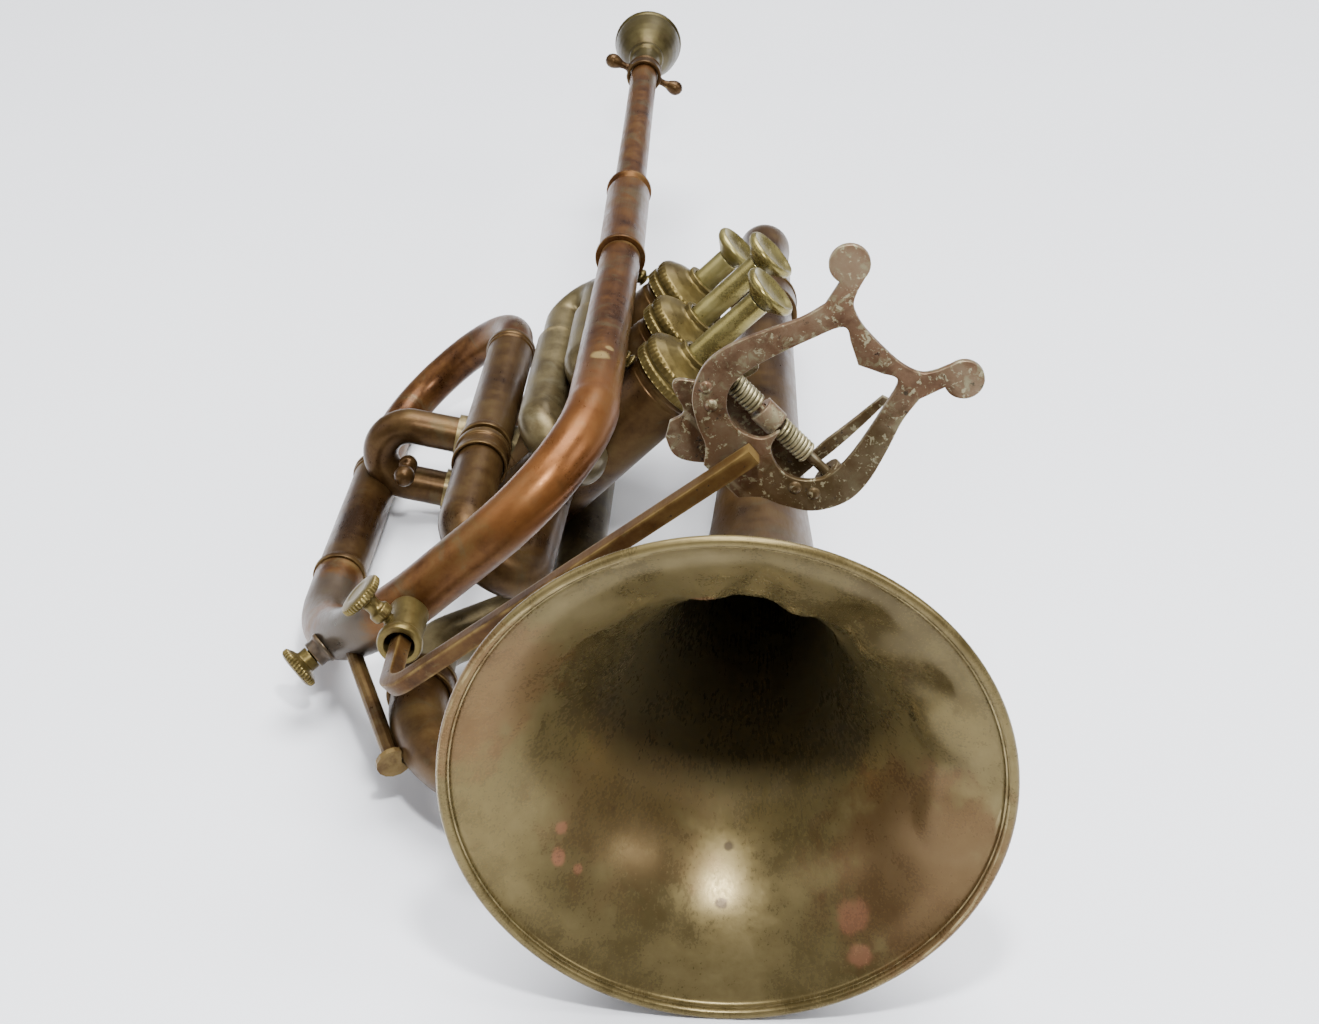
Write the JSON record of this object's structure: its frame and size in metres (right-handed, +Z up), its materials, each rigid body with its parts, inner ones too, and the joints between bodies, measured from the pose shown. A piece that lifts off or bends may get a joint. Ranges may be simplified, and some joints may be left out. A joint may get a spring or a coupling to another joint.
{
  "type": "valved bugle",
  "caption": "Antique valved bugle with a flared brass bell, piston valves, looped leadpipe, pull slides, sliding mouthpipe, mouthpiece and a clip-on music lyre, laid on its side.",
  "frame": {"origin": "on the resting surface, under the middle of the whole outline", "axes": "+Z up from the resting surface, -Y the way the bell faces, +X to the right when looking into the bell from in front"},
  "size_m": [0.179, 0.4666, 0.1559],
  "materials": {
    "bell_brass": "aged brass with coppery patches",
    "red_patina": "red-brown patina",
    "brown_brass": "dull brown patina",
    "grey_brass": "grey-brown tarnish",
    "bright_brass": "worn bright brass",
    "plated_steel": "pitted plating with rust",
    "spring_steel": "tarnished wire"
  },
  "bodies": {
    "instrument": {"bell": "bell_brass", "bell_rim_wire": "bell_brass", "bell_stem_ferrule": "brown_brass", "bell_rear_bow": "brown_brass", "front_bow": "brown_brass", "front_bow_ferrule_left": "brown_brass", "front_bow_ferrule_right": "brown_brass", "valve_casing_1": "brown_brass", "valve_top_cap_1": "bright_brass", "valve_bottom_cap_1": "grey_brass", "valve_spring_1": "spring_steel", "valve_casing_2": "brown_brass", "valve_top_cap_2": "bright_brass", "valve_bottom_cap_2": "grey_brass", "valve_spring_2": "spring_steel", "valve_casing_3": "brown_brass", "valve_top_cap_3": "bright_brass", "valve_bottom_cap_3": "grey_brass", "valve_spring_3": "spring_steel", "mouthpipe_sleeve": "red_patina", "leadpipe": "red_patina", "tuning_sleeve_lower": "brown_brass", "tuning_sleeve_upper": "brown_brass", "valve_inlet_pipe": "brown_brass", "valve_inlet_ferrule": "brown_brass", "valve_branch": "grey_brass", "slide_1_sleeve_upper": "grey_brass", "slide_1_sleeve_lower": "grey_brass", "slide_2_sleeve_upper": "grey_brass", "slide_2_sleeve_lower": "grey_brass", "slide_3_sleeve_upper": "grey_brass", "slide_3_sleeve_lower": "grey_brass", "brace_upper": "bright_brass", "brace_lower": "bright_brass", "brace_front": "brown_brass", "lyre_socket": "bright_brass"},
    "mouthpipe": {"mouthpipe": "red_patina"},
    "wing_nut": {"mouthpipe_wing_nut": "brown_brass"},
    "mouthpiece": {"mouthpiece": "bright_brass"},
    "tuning_slide": {"tuning_slide": "red_patina"},
    "first_slide": {"slide_1_bow": "brown_brass"},
    "second_slide": {"slide_2_bow": "brown_brass"},
    "third_slide": {"slide_3_bow": "grey_brass"},
    "first_piston": {"piston_1": "grey_brass", "piston_stem_1": "bright_brass", "finger_button_1": "bright_brass"},
    "second_piston": {"piston_2": "grey_brass", "piston_stem_2": "bright_brass", "finger_button_2": "bright_brass"},
    "third_piston": {"piston_3": "grey_brass", "piston_stem_3": "bright_brass", "finger_button_3": "bright_brass"},
    "drain_plug": {"drain_plug": "bright_brass"},
    "thumb_screw": {"lyre_thumb_screw": "bright_brass"},
    "lyre": {"lyre_rod": "plated_steel", "lyre_plate": "plated_steel", "lyre_hinge_pin": "plated_steel", "lyre_spring_left": "spring_steel", "lyre_spring_right": "spring_steel"},
    "lyre_jaw": {"lyre_jaw": "plated_steel"}
  },
  "joints": [
    {"name": "mouthpipe_slide", "type": "slide", "parent": "instrument", "child": "mouthpipe", "axis": [-0.0161, 0.9995, -0.0286], "range_m": [0, 0.03]},
    {"name": "mouthpiece_pull", "type": "slide", "parent": "mouthpipe", "child": "mouthpiece", "axis": [-0.0161, 0.9995, -0.0286], "range_m": [0, 0.015]},
    {"name": "wing_nut_turn", "type": "hinge", "parent": "mouthpipe", "child": "wing_nut", "pos_m": [-0.01047, 0.18792, 0.06707], "axis": [-0.0161, 0.9995, -0.0286], "range_deg": [-90, 90]},
    {"name": "tuning_slide_pull", "type": "slide", "parent": "instrument", "child": "tuning_slide", "axis": [0, 0.9986, -0.053], "range_m": [0, 0.036]},
    {"name": "first_slide_pull", "type": "slide", "parent": "instrument", "child": "first_slide", "axis": [0, 0.9986, -0.053], "range_m": [0, 0.02]},
    {"name": "second_slide_pull", "type": "slide", "parent": "instrument", "child": "second_slide", "axis": [-0.9808, 0.0103, 0.1947], "range_m": [0, 0.003]},
    {"name": "third_slide_pull", "type": "slide", "parent": "instrument", "child": "third_slide", "axis": [0, 0.9986, -0.053], "range_m": [0, 0.014]},
    {"name": "first_piston_travel", "type": "slide", "parent": "instrument", "child": "first_piston", "axis": [0.7088, 0.0374, 0.7044], "range_m": [-0.003, 0.013], "deforming": ["valve_spring_1"]},
    {"name": "second_piston_travel", "type": "slide", "parent": "instrument", "child": "second_piston", "axis": [0.7088, 0.0374, 0.7044], "range_m": [-0.016, 0], "stiffness_N_per_m": 200, "springref_m": 0.012, "deforming": ["valve_spring_2"]},
    {"name": "third_piston_travel", "type": "slide", "parent": "instrument", "child": "third_piston", "axis": [0.7088, 0.0374, 0.7044], "range_m": [-0.016, 0], "stiffness_N_per_m": 200, "springref_m": 0.012, "deforming": ["valve_spring_3"]},
    {"name": "drain_plug_turn", "type": "hinge", "parent": "instrument", "child": "drain_plug", "pos_m": [-0.07286, -0.12051, 0.02225], "axis": [-0.7338, -0.4958, -0.4645], "range_deg": [0, 350]},
    {"name": "thumb_screw_turn", "type": "hinge", "parent": "instrument", "child": "thumb_screw", "pos_m": [-0.05097, -0.14694, 0.04137], "axis": [-0.7054, 0.0376, 0.7078], "range_deg": [0, 350]},
    {"name": "lyre_pull", "type": "slide", "parent": "instrument", "child": "lyre", "axis": [0, -0.9986, 0.053], "range_m": [0, 0.01]},
    {"name": "lyre_jaw_squeeze", "type": "hinge", "parent": "lyre", "child": "lyre_jaw", "pos_m": [0.03872, -0.16671, 0.11216], "axis": [-0.7054, 0.0376, 0.7078], "range_deg": [0, 12], "stiffness_Nm_per_rad": 0.06, "springref_deg": -14.32}
  ]
}
